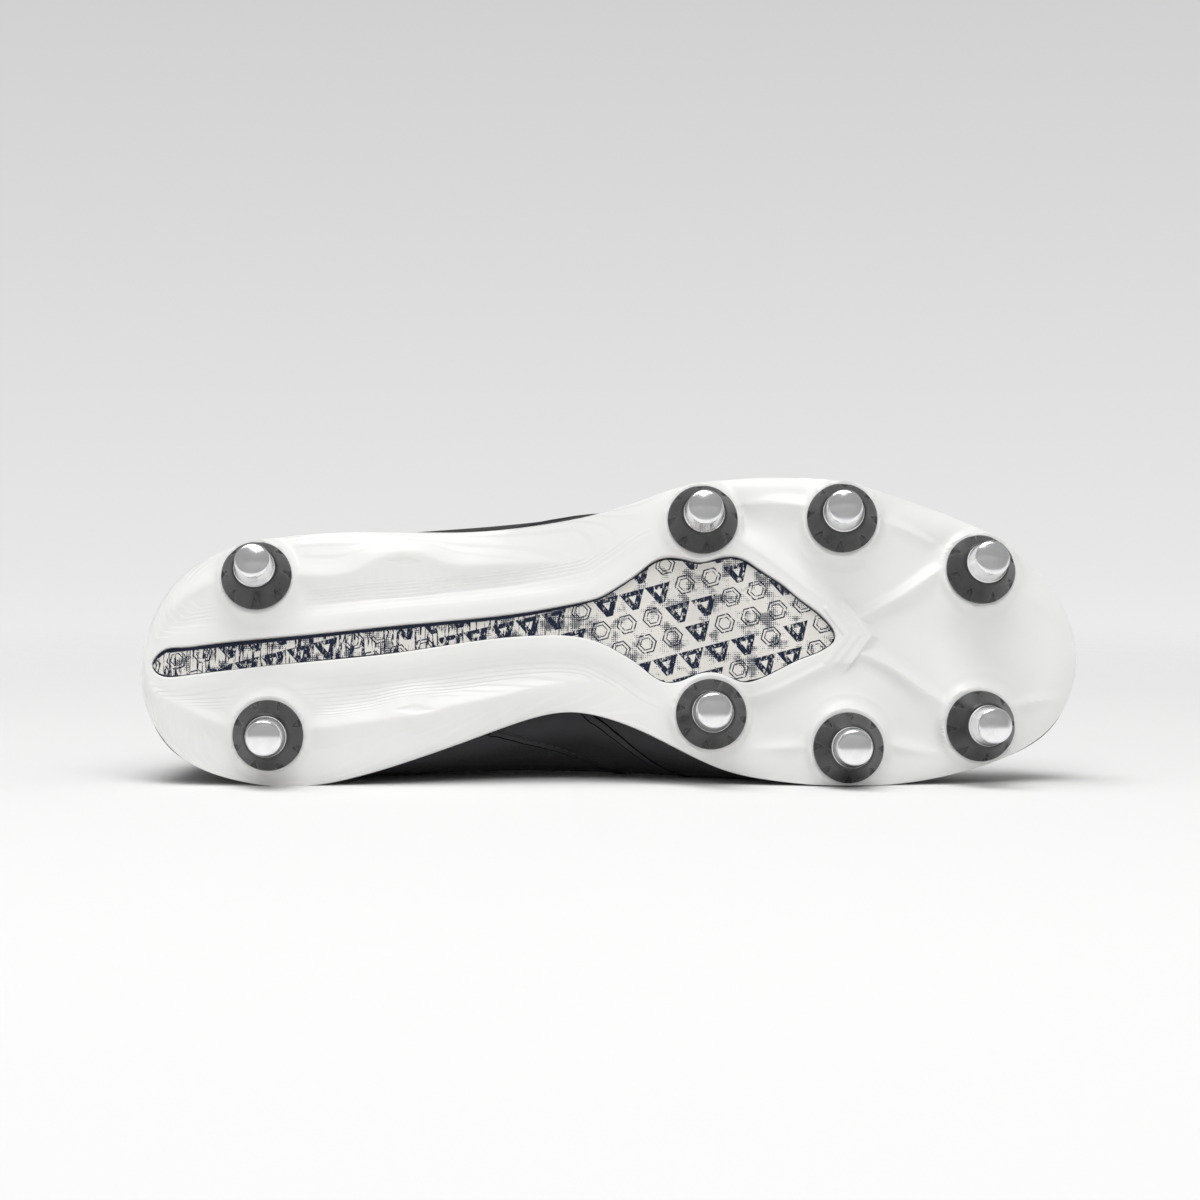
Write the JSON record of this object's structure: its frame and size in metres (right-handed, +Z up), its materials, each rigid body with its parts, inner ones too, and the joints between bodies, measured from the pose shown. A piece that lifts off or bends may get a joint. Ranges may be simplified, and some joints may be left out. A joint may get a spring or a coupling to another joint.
{
  "type": "rugby boot",
  "caption": "Low-cut laced rugby boot lying on its inner side, with a hollow black upper, a white moulded plate with a printed window, and screw-in metal-tipped studs.",
  "frame": {"origin": "middle of the bounding box on the floor", "axes": "+X from heel to toe, +Y from the sole towards the collar, +Z up with the outer side of the foot uppermost"},
  "size_m": [0.2938, 0.1418, 0.0958],
  "materials": {
    "white_plate": "satin moulded",
    "window_print": "clear over a printed face",
    "black_upper": "soft satin",
    "black_lining": "matt textile",
    "black_lace": "flat woven",
    "grey_nylon": "satin moulded",
    "bare_aluminium": "turned"
  },
  "bodies": {
    "root": {"outsole": "white_plate", "sole_window": "window_print", "upper": "black_upper", "insole": "black_lining", "tongue": "black_lining", "lace": "black_lace", "stud_skirt_heel_outer": "grey_nylon", "stud_skirt_heel_inner": "grey_nylon", "stud_skirt_rear_outer": "grey_nylon", "stud_skirt_rear_inner": "grey_nylon", "stud_skirt_middle_outer": "grey_nylon", "stud_skirt_middle_inner": "grey_nylon", "stud_skirt_front_outer": "grey_nylon", "stud_skirt_front_inner": "grey_nylon", "stud_tip_heel_outer": "bare_aluminium", "stud_tip_heel_inner": "bare_aluminium", "stud_tip_rear_outer": "bare_aluminium", "stud_tip_rear_inner": "bare_aluminium", "stud_tip_middle_outer": "bare_aluminium", "stud_tip_middle_inner": "bare_aluminium", "stud_tip_front_outer": "bare_aluminium", "stud_tip_front_inner": "bare_aluminium"}
  },
  "joints": []
}
